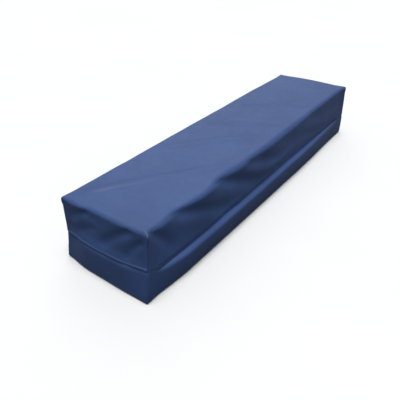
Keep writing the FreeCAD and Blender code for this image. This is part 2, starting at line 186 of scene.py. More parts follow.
FAR_FOLDS = [
    (-0.11, 0.006, 0, 0.08, -0.003, 0.015),
    (0.01, 0.008, 0.11, 0.09, -0.0028, 0.016),
]


def stations(half, first=0.0007, growth=1.25, widest=0.005):
    """Grid places from -half to half, close together at both ends."""
    gaps = [first]
    while sum(gaps) < half:
        gaps.append(min(gaps[-1] * growth, widest))
    from_end = np.concatenate([[0], np.cumsum(gaps)])
    from_end *= half / from_end[-1]
    return np.concatenate([from_end - half, (half - from_end)[::-1][1:]])


def by_side(x, y, near, far, front, rear):
    """The curves' values for the nearer end, and for the nearer long side."""
    ends = np.where(x < 0, curve(y, near), curve(y, far))
    return ends, np.where(y < 0, curve(x, front), curve(x, rear))


def seam_height(x, y):
    """Height of the seam below a place on the block's outline."""
    ends, sides = by_side(x, y, NEAR_SEAM, FAR_SEAM, FRONT_SEAM, REAR_SEAM)
    return np.where(HALF_L - np.abs(x) < HALF_W - np.abs(y), ends, sides)


def rounded(points):
    """Moves points of the plain block's surface onto the block with folded edges."""
    x, y, z = points.T
    end, side = by_side(x, y, NEAR_FOLD, FAR_FOLD, FRONT_FOLD, REAR_FOLD)
    u = np.clip((np.abs(x) - (HALF_L - end)) / end, 0, 1)
    v = np.clip((np.abs(y) - (HALF_W - side)) / side, 0, 1)
    radius = np.where(u + v > 0, (u * end + v * side) / np.maximum(u + v, TINY), side)
    w = np.clip((z - (TOP - radius)) / radius, 0, 1)
    flat = (u**CORNER_POWER + v**CORNER_POWER) ** (1 / CORNER_POWER)
    length = np.maximum(np.sqrt(flat**2 + w**2), TINY)
    x = np.sign(x) * np.where(u > 0, HALF_L - end + end * u / length, np.abs(x))
    y = np.sign(y) * np.where(v > 0, HALF_W - side + side * v / length, np.abs(y))
    z = np.where(w > 0, TOP - radius + radius * w / length, z)
    return np.stack([x, y, z], 1)


def leaned(points):
    """Lets the sides stand out or in by their height, and tilts the top at its far end."""
    x, y, z = points.T
    drawn = np.clip((z - DRAWN_FROM) / (TOP - DRAWN_FROM), 0, 1)
    to_front, to_rear = ease(-y, *TO_FRONT_CORNER), ease(y, *TO_REAR_CORNER)
    near = curve(z, NEAR_LEAN) * (1 - to_front - to_rear)
    near -= drawn * curve(y, NEAR_INSET, NEAR_INSET_SPREAD)
    near += curve(z, NEAR_FRONT_LEAN) * to_front + curve(z, NEAR_REAR_LEAN) * to_rear
    ends = np.where(x < 0, near, curve(z, FAR_LEAN))
    roll = curve(seam_height(x, y) - z, FRONT_ROLL, ROLL_SPREAD) * curve(x, FRONT_ROLL_SHARE)
    front = roll - drawn * curve(x, FRONT_INSET)
    rear = curve(z, REAR_LEAN) + curve(z, REAR_ROLL, ROLL_SPREAD) * curve(x, REAR_ROLL_SHARE)
    sides = np.where(y < 0, front, rear)
    front_to_rear = 1 - 2 * ease(y, 0, HALF_W)
    rise = FAR_RISE * ease(x, RISE_FROM_X, HALF_L) * ease(z, RISE_FROM_Z, TOP) * front_to_rear
    x = x * (1 + ends / HALF_L)
    y = y * (1 + sides / HALF_W)
    return np.stack([x, y, z + rise], 1)


def fold_relief(along, down, folds):
    """Height of the folds at places on one side's flat cloth."""
    height = np.zeros_like(along)
    for a0, d0, a1, d1, rise, width in folds:
        length = math.hypot(a1 - a0, d1 - d0)
        forward = ((along - a0) * (a1 - a0) + (down - d0) * (d1 - d0)) / length**2
        across = ((along - a0) * (d1 - d0) - (down - d0) * (a1 - a0)) / length
        share = np.clip(forward, 0, 1)
        bow = FOLD_BOW * np.sin(math.pi * share)
        spread = width * (FOLD_WIDTHS[0] + FOLD_WIDTHS[1] * share)
        fade = ease(forward, *FOLD_START) * (1 - ease(forward, *FOLD_END))
        height += rise * fade * bell(across, bow, spread)
    return height


def unevenness(points):
    """The slow rise and fall of loose cloth over foam, in waves of odd lengths and directions."""
    x, y, z = points.T
    slow = np.sin(9.1 * x + 13.0 * y + 1.1) * np.cos(17.0 * y - 6.0 * x + 21.0 * z)
    quick = np.sin(31.0 * x - 23.0 * y + 17.0 * z + 0.6) * np.sin(19.0 * x + 29.0 * y)
    return 0.0005 * slow + 0.00025 * quick


def relief(block_points, places):
    """How far the skirt and the top stand off their smooth form, along the normal."""
    x, y, z = block_points.T
    on_top = z > TOP - SAME
    height = unevenness(places)
    for sign, along, edge, across, folds in (
        (-1, x, HALF_W, y, FRONT_FOLDS),
        (1, x, HALF_W, y, REAR_FOLDS),
        (-1, y, HALF_L, x, NEAR_FOLDS),
        (1, y, HALF_L, x, FAR_FOLDS),
    ):
        on_side = at(across, sign * edge)
        down = np.where(on_top, -(edge - sign * across), TOP - z)
        half_along = HALF_L if edge == HALF_W else HALF_W
        from_corner = ease(half_along - np.abs(along), 0.0, CORNER_CALM)
        part = fold_relief(along, down, folds) * from_corner
        height += np.where(on_side | on_top, part, 0)
    return height


def tucked(x, y):
    """1 along the front, where the skirt goes in behind the band, and 0 where it laps over it."""
    return at(y, -HALF_W) * ease(x, *TUCK_START) * (1 - ease(x, *TUCK_END))


def vertex_normals(places, faces):
    """The average direction of the faces round each point."""
    corners = places[faces]
    across = np.cross(corners[:, 2] - corners[:, 0], corners[:, 3] - corners[:, 1])
    total = np.zeros_like(places)
    for i in range(4):
        np.add.at(total, faces[:, i], across)
    return total / np.maximum(np.linalg.norm(total, axis=1, keepdims=True), TINY)


def grid_faces(rows, columns, start=0, closed=False):
    """Faces of a grid of points, row by row; closed joins the last column to the first."""
    across = columns if closed else columns - 1
    row, column = np.meshgrid(np.arange(rows - 1), np.arange(across), indexing="ij")
    following = (column + 1) % columns
    quad = [row * columns + column, row * columns + following,
            (row + 1) * columns + following, (row + 1) * columns + column]
    return start + np.stack([q.ravel() for q in quad], 1)


def outline(xs, ys):
    """The block's outline as (x, y) points: front, far end, rear, near end."""
    front = [(x, -HALF_W) for x in xs]
    far = [(HALF_L, y) for y in ys[1:]]
    rear = [(x, HALF_W) for x in xs[::-1][1:]]
    near = [(-HALF_L, y) for y in ys[::-1][1:-1]]
    return np.array(front + far + rear + near)


def outward(ring):
    """The horizontal direction away from the block at each place of an outline."""
    away = np.zeros((len(ring), 3))
    away[:, :2] = np.sign(ring) * at(np.abs(ring), (HALF_L, HALF_W))
    return away / np.linalg.norm(away, axis=1, keepdims=True)


def corner_distance(ring):
    """Distance along the outline to the nearest upright corner."""
    return ((HALF_L, HALF_W) - np.abs(ring)).max(1)


GROOVE_DEPTH, GROOVE_WIDTH = 0.0026, 0.0015
WELT_HEIGHT, WELT_PLACE, WELT_WIDTH = 0.0007, 0.0048, 0.0026


def corner_seam(distance):
    """The groove and the welts of a sewn upright corner, along the normal."""
    welt = WELT_HEIGHT * bell(distance, WELT_PLACE, WELT_WIDTH)
    return welt - GROOVE_DEPTH * bell(distance, 0, GROOVE_WIDTH)


UNDER_PATCH = 0.004  # the zip's opening closes this far inside the patches' ends


def over_zip(x):
    """1 along the rear where the zip's opening is, and 0 beyond it."""
    return 1 - ease(np.abs(x), PATCH_START + UNDER_PATCH, PATCH_END - UNDER_PATCH)


def skirt_edge(x, y):
    """Height of the skirt's lower edge; along the rear it clears the zip."""
    seam = seam_height(x, y)
    return seam + at(y, HALF_W) * over_zip(x) * (ZIP_TOP - seam)


# The skirt's hem, from its outer face round the fold and up inside: distance above the edge,
# and how far it stands out.
HEM = [(0.0110, 0.0), (0.0090, 0.0007), (0.0072, 0.0021), (0.0054, 0.0034), (0.0034, 0.0038),
       (0.0016, 0.0031), (0.0004, 0.0016), (0.0, -0.0002), (0.0006, -0.0016), (0.0140, -0.0020)]


def skin(xs, ys, shares):
    """The plain block's top and skirts as one mesh.

    Shares are each row's place from the skirt's edge, 0, to the top, 1. Returns the points, the
    outline, the outline's points on the top, and the faces.
    """
    top_x, top_y = np.meshgrid(xs, ys, indexing="ij")
    top = np.stack([top_x.ravel(), top_y.ravel(), np.full(top_x.size, TOP)], 1)
    ring = outline(xs, ys)
    border = {tuple(np.round(p[:2], 7)): i for i, p in enumerate(top)}
    first_row = np.array([border[tuple(np.round(p, 7))] for p in ring])
    edge = skirt_edge(*ring.T)
    rows = []
    for share in shares:
        rise = HEM[0][0] + edge + share * (TOP - edge - HEM[0][0])
        rows.append(np.column_stack([ring, rise]))
    block = np.concatenate([top] + rows)
    columns = len(ring)
    top_faces = grid_faces(len(xs), len(ys))[:, ::-1]
    joint = np.stack([first_row, np.arange(columns) + len(top),
                      (np.arange(columns) + 1) % columns + len(top), np.roll(first_row, -1)], 1)
    side_faces = grid_faces(len(rows), columns, len(top), closed=True)[:, ::-1]
    return block, ring, first_row, np.concatenate([top_faces, joint, side_faces])


def folded_skin(block, faces):
    """The block's skin with its edges, leans and folds, and the normals of its smooth form."""
    smooth = leaned(rounded(block))
    normals = vertex_normals(smooth, faces)
    return smooth, normals, relief(block, smooth)


# -------- the cover, as loose cloth

SIM_STEP = 0.008  # spacing of the simulated cloth's points
SIM_ROWS = 15  # rows of points down the skirt
SIM_FRAMES = 24
SIM_CAP = 0.009  # furthest that the simulation may move the cloth
FOAM_GAP = 0.0028  # from the cloth to the foam that it lies over
LOOSE = 0.0025  # how much longer the cloth is than the foam, as a share
TOP_SHEAR = 0.006  # how far the front of the top is dragged along, towards the far end
SKIRT_SHEAR = 0.009  # how far the skirts' hems are dragged along
# Towards the far end the cover sits tighter: less of it is dragged, and it moves less.
TIGHTER_DRAG, TIGHTER_DRAG_SPAN = 0.75, (-0.15, 0.25)
TIGHTER_MOVE, TIGHTER_MOVE_SPAN = 0.6, (-0.05, 0.25)


def unstrained(block, places):
    """Where the cloth's points would lie if nothing dragged it or held it short.

    The front of the top and the hems are held further along than this, which pulls the
    cloth into slanting folds.
    """
    x, y, z = block.T
    below = (TOP - z) / (TOP - SKIRT)
    front_half = (HALF_W - y) / (2 * HALF_W)
    near_part = 1 - TIGHTER_DRAG * ease(x, *TIGHTER_DRAG_SPAN)
    drag_x = (TOP_SHEAR * front_half + SKIRT_SHEAR * below * at(y, -HALF_W)) * near_part
    drag_y = SKIRT_SHEAR * below * at(x, -HALF_L) * (1 - np.abs(y) / HALF_W)
    moved = places.copy()
    moved[:, 0] = places[:, 0] * (1 + LOOSE) - drag_x
    moved[:, 1] = places[:, 1] * (1 + LOOSE) - drag_y
    moved[:, 2] = TOP + (places[:, 2] - TOP) * (1 + LOOSE)
    return moved


def add_object(name, data):
    """A new object in the scene."""
    made = bpy.data.objects.new(name, data)
    bpy.context.scene.collection.objects.link(made)
    return made


def mesh_object(name, places, faces):
    """A new object in the scene with the mesh given."""
    mesh = bpy.data.meshes.new(name)
    mesh.from_pydata(np.asarray(places).tolist(), [], np.asarray(faces).tolist())
    return add_object(name, mesh)


def drape():
    """Simulates the upper cover over the foam.

    Returns a function of places on the block's skin that says how far the cloth there moves.
    """
    xs, ys = (np.linspace(-h, h, 2 * round(h / SIM_STEP) + 1) for h in (HALF_L, HALF_W))
    shares = np.linspace(1, 0, SIM_ROWS)[1:]
    block, ring, first_row, faces = skin(xs, ys, shares)
    smooth, normals, height = folded_skin(block, faces)
    # The creases across the top are pressed in afterwards, because the foam holds the top flat.
    # Down the sides the foam gives way under the cloth's valleys.
    height = np.where(block[:, 2] > TOP - SAME, 0, height)
    start = smooth + normals * height[:, None]
    cloth = mesh_object("drape_cloth", start, faces)
    give = np.minimum(height, 0)[:, None] - FOAM_GAP
    inside = mesh_object("drape_foam", smooth + normals * give, faces)
    inside.modifiers.new("Collision", "COLLISION")
    inside.collision.thickness_outer = 0.001
    inside.collision.cloth_friction = 15

    cloth.shape_key_add(name="Basis")
    loose = cloth.shape_key_add(name="loose")
    loose.data.foreach_set("co", unstrained(block, start).ravel())
    held = cloth.vertex_groups.new(name="held")
    columns = len(ring)
    held.add(range(len(block) - 2 * columns, len(block)), 1.0, "REPLACE")
    modifier = cloth.modifiers.new("Cloth", "CLOTH")
    settings = modifier.settings
    settings.quality = 6
    settings.mass = 0.15
    settings.tension_stiffness = settings.compression_stiffness = 20
    settings.shear_stiffness = 12
    settings.bending_stiffness = 6
    settings.tension_damping = settings.compression_damping = settings.shear_damping = 15
    settings.air_damping = 4
    settings.rest_shape_key = loose
    settings.vertex_group_mass = held.name
    settings.effector_weights.gravity = 0.3
    modifier.collision_settings.distance_min = 0.0015
    modifier.collision_settings.collision_quality = 2
    modifier.point_cache.frame_start, modifier.point_cache.frame_end = 1, SIM_FRAMES
    scene = bpy.context.scene
    for step in range(1, SIM_FRAMES + 1):
        scene.frame_set(step)
    draped = cloth.evaluated_get(bpy.context.evaluated_depsgraph_get())
    finish = np.empty(len(block) * 3)
    draped.data.vertices.foreach_get("co", finish)
    scene.frame_set(1)
    move = finish.reshape(-1, 3) - start
    for item in (cloth, inside):
        bpy.data.meshes.remove(item.data)  # takes the object along
    length = np.linalg.norm(move, axis=1, keepdims=True)
    move *= np.minimum(1, SIM_CAP / np.maximum(length, TINY))
    move *= 1 - TIGHTER_MOVE * ease(block[:, :1], *TIGHTER_MOVE_SPAN)
    top_count = len(xs) * len(ys)
    on_top = move[:top_count].reshape(len(xs), len(ys), 3)
    on_sides = np.concatenate([move[first_row][None], move[top_count:].reshape(-1, columns, 3)])
    girth = np.concatenate([ring_place(ring), [4 * (HALF_L + HALF_W)]])
    on_sides = np.concatenate([on_sides, on_sides[:, :1]], 1)

    def moved(points):
        """How far the cloth moves at points of the plain block's skin."""
        x, y, z = points.T
        top_move = grid_sample(on_top, xs, ys, x, y)
        low = skirt_edge(x, y) + HEM[0][0]
        down = 1 - np.clip((z - low) / (TOP - low), 0, 1)
        levels = np.linspace(0, 1, SIM_ROWS)
        side_move = grid_sample(on_sides, levels, girth, down, ring_place(points))
        return np.where((z > TOP - SAME)[:, None], top_move, side_move)

    return moved


def ring_place(points):
    """Distance round the block's outline from its near front corner."""
    x, y = points[:, 0], points[:, 1]
    length, width = 2 * HALF_L, 2 * HALF_W
    place = 2 * length + width + (HALF_W - y)
    place = np.where(at(y, HALF_W), length + width + (HALF_L - x), place)
    place = np.where(at(x, HALF_L), length + (y + HALF_W), place)
    return np.where(at(y, -HALF_W), x + HALF_L, place)


def grid_sample(values, rows, columns, row, column):
    """Reads a grid of vectors between its rows and columns, with straight blending."""
    i = np.clip(np.searchsorted(rows, row, side="right") - 1, 0, len(rows) - 2)
    j = np.clip(np.searchsorted(columns, column, side="right") - 1, 0, len(columns) - 2)
    a = np.clip((row - rows[i]) / (rows[i + 1] - rows[i]), 0, 1)[:, None]
    b = np.clip((column - columns[j]) / (columns[j + 1] - columns[j]), 0, 1)[:, None]
    near = values[i, j] * (1 - b) + values[i, j + 1] * b
    far = values[i + 1, j] * (1 - b) + values[i + 1, j + 1] * b
    return near * (1 - a) + far * a


CORNER_SEAM_FROM = (0.018, 0.030)  # depth below the top over which the corner seams begin
PINCH = 0.0014  # how far the cloth stands up where a corner seam starts
PINCH_DEPTH = 0.012  # below the top
PINCH_REACH, PINCH_HEIGHT = 0.0040, 0.010
CREASE = 0.0080  # how far the skirt goes in behind the front's band
CREASE_HEIGHT = 0.009
FLAT_BY_ZIP = (0.004, 0.05)  # height above the rear hem over which the cloth comes to be uneven
BEAD_AT_REAR = 0.35  # fullness of the rear's hem, as a share of the ends'
BEAD_FADE = 0.020  # the ends' hems flatten over this length, beside all but the near front corner


def upper_cover_mesh():
    """The top and its four skirts as one skin, down to the rolled hem."""
    xs, ys = stations(HALF_L), stations(HALF_W)
    steps = 1 - (stations(0.5, first=0.004, growth=1.2, widest=0.036) + 0.5)[1:]
    block, ring, _, faces = skin(xs, ys, steps)
    x, y = ring.T
    columns, rows, top_count = len(ring), len(steps), len(xs) * len(ys)
    smooth, normals, height = folded_skin(block, faces)
    along_ring = np.tile(corner_distance(ring), rows)
    drop = TOP - block[top_count:, 2]
    seam = corner_seam(along_ring) * ease(drop, *CORNER_SEAM_FROM)
    pinch = PINCH * bell(along_ring, 0, PINCH_REACH) * bell(drop, PINCH_DEPTH, PINCH_HEIGHT)
    tuck = np.tile(tucked(x, y), rows)
    above = block[top_count:, 2] - np.tile(skirt_edge(x, y), rows)
    crease = -CREASE * tuck * bell(above, 0, CREASE_HEIGHT)
    height[top_count:] += seam + pinch + crease
    # Along the zip the skirt lies flat, so that its hem stays straight.
    rear = np.tile(at(y, HALF_W), rows)
    height[top_count:] *= np.where(rear, ease(above, *FLAT_BY_ZIP), 1)
    smooth += normals * height[:, None]
    smooth += drape()(block)

    # The hem follows the skirt's last row.
    last = smooth[-columns:].copy()
    away = outward(ring)
    from_rear = ease(HALF_W - y, 0, BEAD_FADE)
    from_front = np.where(x > 0, ease(HALF_W + y, 0, BEAD_FADE), 1)
    bead = np.where(y > 0, BEAD_AT_REAR, 0)
    bead = np.where(at(np.abs(x), HALF_L), from_rear * from_front, bead)
    hem_rows = []
    for rise, out in HEM[1:]:
        place = last.copy()
        place[:, 2] += rise - HEM[0][0]
        scale = bead if out > 0 else 1.0
        hem_rows.append(place + away * np.reshape(out * scale, (-1, 1)))
    places = np.concatenate([smooth] + hem_rows)
    hem_faces = grid_faces(len(HEM), columns, len(smooth) - columns, closed=True)[:, ::-1]
    return places, np.concatenate([faces, hem_faces])


BOTTOM_RADIUS = 0.006  # radius of the bands' fold at the floor
FRONT_BOTTOM_RADIUS = 0.007  # the same along the front, away from its corners
FRONT_FOLD_CLOSES = 0.05  # length beside a corner over which the front's fold becomes the others'
TURNED_IN = (0.038, 0.028)  # how far in the band's cloth lies under the block
TURNED_IN_RISE, FOLD_RISE = 0.0008, 0.0004  # height there, and of the fold, above the floor
BAND_SWELL = 0.0008  # how far the middle of a band stands out
FLUSH = 0.12  # share of a lap's step at the front, where skirt and band meet almost flush
EVEN_BY_ZIP = (0.03, 0.06)  # height over which the rear band becomes flat, below the zip
EVEN_BY_FLOOR = (0.004, 0.02)  # height over which a band becomes uneven, above the floor
# The top of a band where the skirt laps over it, where it rolls over the skirt, and at the zip:
# height above the edge, and how far it stands out.
LAPPED_TOP = [(-0.006, 0.0), (-0.003, -0.0012), (0.0, -0.0026), (0.004, -0.0032), (0.008, -0.0033),
              (0.012, -0.0033)]
ROLLED_TOP = [(-0.006, 0.0012), (-0.0025, 0.0004), (0.0, -0.0014), (0.0014, -0.0040),
              (0.0018, -0.0070), (0.0006, -0.0105)]
ZIP_HEM_TOP = [(-0.0030, 0.0), (-0.0018, 0.0003), (-0.0005, 0.0001), (0.0, -0.0006),
               (-0.0008, -0.0014), (-0.0130, -0.0018)]


def band_mesh(band):
    """One lower band: rolled under at the floor and joined to the skirt at its top."""
    lengthwise = band in ("front_band", "rear_band")
    half = HALF_L if lengthwise else HALF_W
    along = stations(half)
    columns = len(along)
    fixed = {"front_band": -HALF_W, "rear_band": HALF_W, "near_end_band": -HALF_L,
             "far_end_band": HALF_L}[band]
    across = np.full(columns, fixed)
    ring = np.column_stack([along, across] if lengthwise else [across, along])
    seam = seam_height(*ring.T)
    if band == "rear_band":
        seam = seam + over_zip(along) * (BAND_TOP - seam)
    away = outward(ring)
    away[0], away[-1] = away[1], away[-2]
    roll = tucked(*ring.T)
    step = FLUSH if band == "front_band" else 1.0
    top_rows = []
    for (lap_up, lap_out), (roll_up, roll_out) in zip(LAPPED_TOP, ROLLED_TOP):
        up = (1 - roll) * lap_up + roll * roll_up
        out = (1 - roll) * lap_out * step + roll * roll_out
        top_rows.append((up, out))
    if band == "rear_band":
        top_rows = [(np.full(columns, up), np.full(columns, out)) for up, out in ZIP_HEM_TOP]
    radius = np.full(columns, BOTTOM_RADIUS)
    if band == "front_band":
        wider = FRONT_BOTTOM_RADIUS - BOTTOM_RADIUS
        radius = radius + wider * ease(half - np.abs(along), 0, FRONT_FOLD_CLOSES)
    rows = []
    for inward in TURNED_IN:
        rows.append((np.full(columns, TURNED_IN_RISE), np.full(columns, -inward)))
    for turn in np.linspace(0, math.pi / 2, 8):
        rows.append((FOLD_RISE + radius * (1 - math.cos(turn)), -radius * (1 - math.sin(turn))))
    first_up, first_out = top_rows[0]
    for share in np.linspace(0, 1, 16)[1:-1]:
        rise = radius + share * (seam + first_up - radius)
        swell = np.sin(math.pi * share) * BAND_SWELL
        rows.append((rise, first_out * share + swell))
    for up, out in top_rows:
        rows.append((seam + up, out))

    block = np.concatenate([np.column_stack([ring, rise]) for rise, _ in rows])
    smooth = leaned(rounded(block))
    stand = np.concatenate([out for _, out in rows])
    distance = np.tile(corner_distance(ring), len(rows))
    zip_flat = 1.0
    if band == "rear_band":
        zip_flat = 1 - ease(block[:, 2], *EVEN_BY_ZIP)
    wave = unevenness(smooth) * zip_flat
    lift = ease(block[:, 2], *EVEN_BY_FLOOR)
    height = stand + corner_seam(distance) * lift + wave * lift
    faces = grid_faces(len(rows), columns)
    if band in ("rear_band", "near_end_band"):
        faces = faces[:, ::-1]
    places = smooth + np.tile(away, (len(rows), 1)) * height[:, None]
    # The turned-under cloth is mitred at the corners.
    reach = np.tile(half - np.abs(along), len(rows))
    under = np.clip(-stand - reach, 0, None) * (block[:, 2] < np.tile(radius, len(rows)))
    axis = 0 if lengthwise else 1
    places[:, axis] -= np.sign(places[:, axis]) * under
    return places, faces


CROWN = 0.0012  # how far the middle of a soft block's top stands up
RIM_STEP, STEP_GROWTH = 0.002, 1.4  # spacing of its points at the edges, and the growth inwards


def soft_block(low, high, radius, step=0.012):
    """A block with rounded edges and a slightly crowned top."""
    half, middle = (high - low) / 2, (high + low) / 2
    axes = [stations(h, min(RIM_STEP, h / 4), STEP_GROWTH, step) for h in half]
    places, faces = [], []
    for axis in range(3):
        u_axis, v_axis = [i for i in range(3) if i != axis]
        u, v = np.meshgrid(axes[u_axis], axes[v_axis], indexing="ij")
        for sign in (-1, 1):
            face = np.zeros((u.size, 3))
            face[:, u_axis], face[:, v_axis], face[:, axis] = u.ravel(), v.ravel(), sign * half[axis]
            quads = grid_faces(*u.shape, start=sum(len(p) for p in places))
            places.append(face)
            faces.append(quads if (sign > 0) == (axis != 1) else quads[:, ::-1])
    places = np.concatenate(places)
    inner = np.array(half) - radius
    core = np.clip(places, -inner, inner)
    away = places - core
    length = np.maximum(np.linalg.norm(away, axis=1, keepdims=True), TINY)
    places = core + away / length * radius
    across, along = (np.cos(math.pi / 2 * places[:, i] / half[i]) for i in (0, 1))
    places[:, 2] += np.where(places[:, 2] > 0, CROWN * across * along, 0)
    return places + np.array(middle), np.concatenate(faces)


# -------- materials


def shader(name, colour, roughness, **sockets):
    """A new material, with the plain values set on the shader's own sockets."""
    material = bpy.data.materials.new(name)
    material.use_nodes = True
    sockets.update(Base_Color=(*colour, 1), Roughness=roughness)
    for socket, value in sockets.items():
        surface(material)[socket.replace("_", " ")].default_value = value
    return material


def surface(material):
    """The sockets of a material's shader."""
    return material.node_tree.nodes["Principled BSDF"].inputs


def node(material, kind, **settings):
    """A new node, with its sockets or its own settings set by name."""
    made = material.node_tree.nodes.new(kind)
    for setting, value in settings.items():
        if setting in made.inputs:
            made.inputs[setting].default_value = value
        else:
            setattr(made, setting, value)
    return made


def link(material, source, target):
    """Joins two sockets."""
    material.node_tree.links.new(source, target)


def texture(material, kind, **settings):
    """A texture over the object's own places, in metres."""
    made = node(material, f"ShaderNodeTex{kind}", **settings)
    places = node(material, "ShaderNodeTexCoord").outputs["Object"]
    link(material, places, made.inputs["Vector"])
    return made


def noise(material, scale, detail=3.0, roughness=0.55):
    """Cloudy noise, as values from 0 to 1."""
    return texture(material, "Noise", Scale=scale, Detail=detail, Roughness=roughness).outputs["Fac"]


def ramp(material, source, low, high, low_at=0.35, high_at=0.65):
    """Colours from low to high by the source's value."""
    made = node(material, "ShaderNodeValToRGB")
    for stop, at_value, colour in zip(made.color_ramp.elements, (low_at, high_at), (low, high)):
        stop.position = at_value
        stop.color = (*colour, 1)
    link(material, source, made.inputs["Fac"])
    return made.outputs["Color"]


def tint(material, source, low, high, low_at=0.35, high_at=0.65):
    """Colours the surface from low to high by the source's value."""
    link(material, ramp(material, source, low, high, low_at, high_at), surface(material)["Base Color"])


def vary_gloss(material, source, low, high):
    """Makes the surface's roughness run from low to high by the source's value."""
    link(material, ramp(material, source, grey(low), grey(high)), surface(material)["Roughness"])


def grey(value):
    """An even grey."""
    return (value, value, value)


def times(colour, share):
    """The colour, darker or lighter by a share."""
    return tuple(c * share for c in colour)


def bump(material, layers):
    """Stacks bump layers, each a height output with its strength and depth in metres."""
    before = None
    for height, strength, depth in layers:
        made = node(material, "ShaderNodeBump", Strength=strength, Distance=depth)
        link(material, height, made.inputs["Height"])
        if before:
            link(material, before.outputs["Normal"], made.inputs["Normal"])
        before = made
    link(material, before.outputs["Normal"], surface(material)["Normal"])


def vinyl(name, colour, roughness=0.42):
    """Coated cloth: a fine pebbled grain over a faint weave, with slow shifts of colour."""
    material = shader(name, colour, roughness, IOR=1.50, Sheen_Weight=0.08, Sheen_Roughness=0.4)
    tint(material, noise(material, 7.0, 4.0), times(colour, 0.90), times(colour, 1.10), 0.3, 0.7)
    vary_gloss(material, noise(material, 38.0, 6.0, 0.7), roughness - 0.05, roughness + 0.07)
    grain = texture(material, "Voronoi", Scale=900.0, feature="SMOOTH_F1").outputs["Distance"]
    weave = noise(material, 260.0, 2.0)
    bump(material, [(weave, 0.25, 0.0004), (grain, 0.30, 0.0003)])
    return material


def foam(name, colour):
    """Open-cell foam: matt, with fine pores and a mottled tone."""
    material = shader(name, colour, 0.95)
    tint(material, noise(material, 60.0, 5.0), times(colour, 0.82), colour)
    pores = texture(material, "Voronoi", Scale=520.0).outputs["Distance"]
    bump(material, [(pores, 0.6, 0.0008)])
    return material


def woven(name, colour, scale):
    """Woven tape: two crossed waves of thread."""
    material = shader(name, colour, 0.8, Sheen_Weight=0.2)
    waves = []
    for direction in ("X", "Z"):
        wave = texture(material, "Wave", Scale=scale, bands_direction=direction)
        waves.append((wave.outputs["Fac"], 0.6, 0.0003))
    tint(material, waves[0][0], times(colour, 0.7), colour)
    bump(material, waves)
    return material


def non_slip(name, colour):
    """Base cloth with rows of small raised rubber dots."""
    material = shader(name, colour, 0.75)
    dots = texture(material, "Voronoi", Scale=160.0, Randomness=0.0).outputs["Distance"]
    raised = ramp(material, dots, grey(1.0), grey(0.0), 0.25, 0.42)
    tint(material, raised, colour, times(colour, 1.8), 0, 1)
    bump(material, [(raised, 0.7, 0.0008)])
    return material


def metal(name, colour, roughness):
    """Die-cast zip metal, slightly cloudy."""
    material = shader(name, colour, roughness, Metallic=1.0)
    haze = noise(material, 420.0, 5.0)
    vary_gloss(material, haze, roughness - 0.08, roughness + 0.12)
    bump(material, [(haze, 0.15, 0.0001)])
    return material


def thread_material(name, colour):
    """Twisted thread: slanting strands along each stitch."""
    material = shader(name, colour, 0.55, Sheen_Weight=0.3)
    twist = texture(material, "Wave", Scale=900.0, bands_direction="DIAGONAL").outputs["Fac"]
    tint(material, twist, times(colour, 0.6), colour)
    bump(material, [(twist, 0.6, 0.0002)])
    return material


def coil_material(name, colour):
    """Glossy polyester filament, faintly uneven."""
    material = shader(name, colour, 0.3, IOR=1.5)
    haze = noise(material, 1400.0, 2.0)
    vary_gloss(material, haze, 0.24, 0.42)
    bump(material, [(haze, 0.2, 0.0001)])
    return material


PAPER, PAPER_LIGHT = (0.95, 0.94, 0.92), (0.97, 0.96, 0.94)
BOUNCE = grey(0.06)


def floor_material():
    """Pale paint for the camera. Other rays meet a dark floor, so it throws little light back."""
    material = shader("floor_paint", PAPER, 0.9, Specular_IOR_Level=0.1)
    tone = ramp(material, noise(material, 1.5), PAPER, PAPER_LIGHT)
    seen = node(material, "ShaderNodeLightPath").outputs["Is Camera Ray"]
    mix = node(material, "ShaderNodeMix", data_type="RGBA")
    mix.inputs["A"].default_value = (*BOUNCE, 1)
    link(material, seen, mix.inputs["Factor"])
    link(material, tone, mix.inputs["B"])
    link(material, mix.outputs["Result"], surface(material)["Base Color"])
    return material


# -------- pieces


def add_piece(name, places, faces, material, slot, cad_name):
    """A smooth mesh piece that rides on the block and stands for the CAD node named."""
    piece = mesh_object(name, places, faces)
    piece.data.shade_smooth()
    piece.data.materials.append(material)
    piece.data.update()
    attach(piece, "block")
    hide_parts(cad_name)
    return piece


def make_cover(cloth):
    """The upper cover and the four bands, all of them filled by the foam."""
    pieces = [add_piece("upper_cover_cloth", *upper_cover_mesh(), cloth, "cover_cloth", "upper_cover")]
    for band in ("front_band", "rear_band", "near_end_band", "far_end_band"):
        pieces.append(add_piece(f"{band}_cloth", *band_mesh(band), cloth, "cover_cloth", band))
    return pieces


FOAM_RADIUS = 0.006
# Each layer's colour and material slot, how much smaller it is than the CAD's at the ends and the
# sides, and how far its top is lowered. The cover draws its top edges in, so the top layer is smaller.
FOAM_LAYERS = {
    "foam_base_layer": ((0.16, 0.16, 0.17), "firm_foam", (0.012, 0.010), 0.0),
    "foam_core_layer": ((0.62, 0.58, 0.46), "medium_foam", (0.012, 0.010), 0.0),
    "foam_top_layer": ((0.72, 0.70, 0.62), "soft_foam", (0.026, 0.026), 0.009),
}


def make_foam():
    """The three foam layers, inside the cover."""
    for name, (colour, slot, room, lowered) in FOAM_LAYERS.items():
        low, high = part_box(name)
        clear = Vector((*room, 0))
        places, faces = soft_block(low + clear, high - clear - Vector((0, 0, lowered)), FOAM_RADIUS)
        piece = add_piece(f"{name}_block", places, faces, foam(f"{name}_foam", colour), slot, name)


BASE_HELD = 0.008  # how much of the base the bands' turned-in cloth holds, on each side
BASE_RADIUS = 0.0006


def make_base(material):
    """The non-slip base, a thin sheet with a rounded rim."""
    low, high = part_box("base_panel")
    rim = Vector((BASE_HELD, BASE_HELD, 0))
    places, faces = soft_block(low + rim, high - rim, BASE_RADIUS, step=0.02)
    places[:, 2] = np.clip(places[:, 2], low.z, high.z)
    base = add_piece("base_panel_sheet", places, faces, material, "base_cloth", "base_panel")


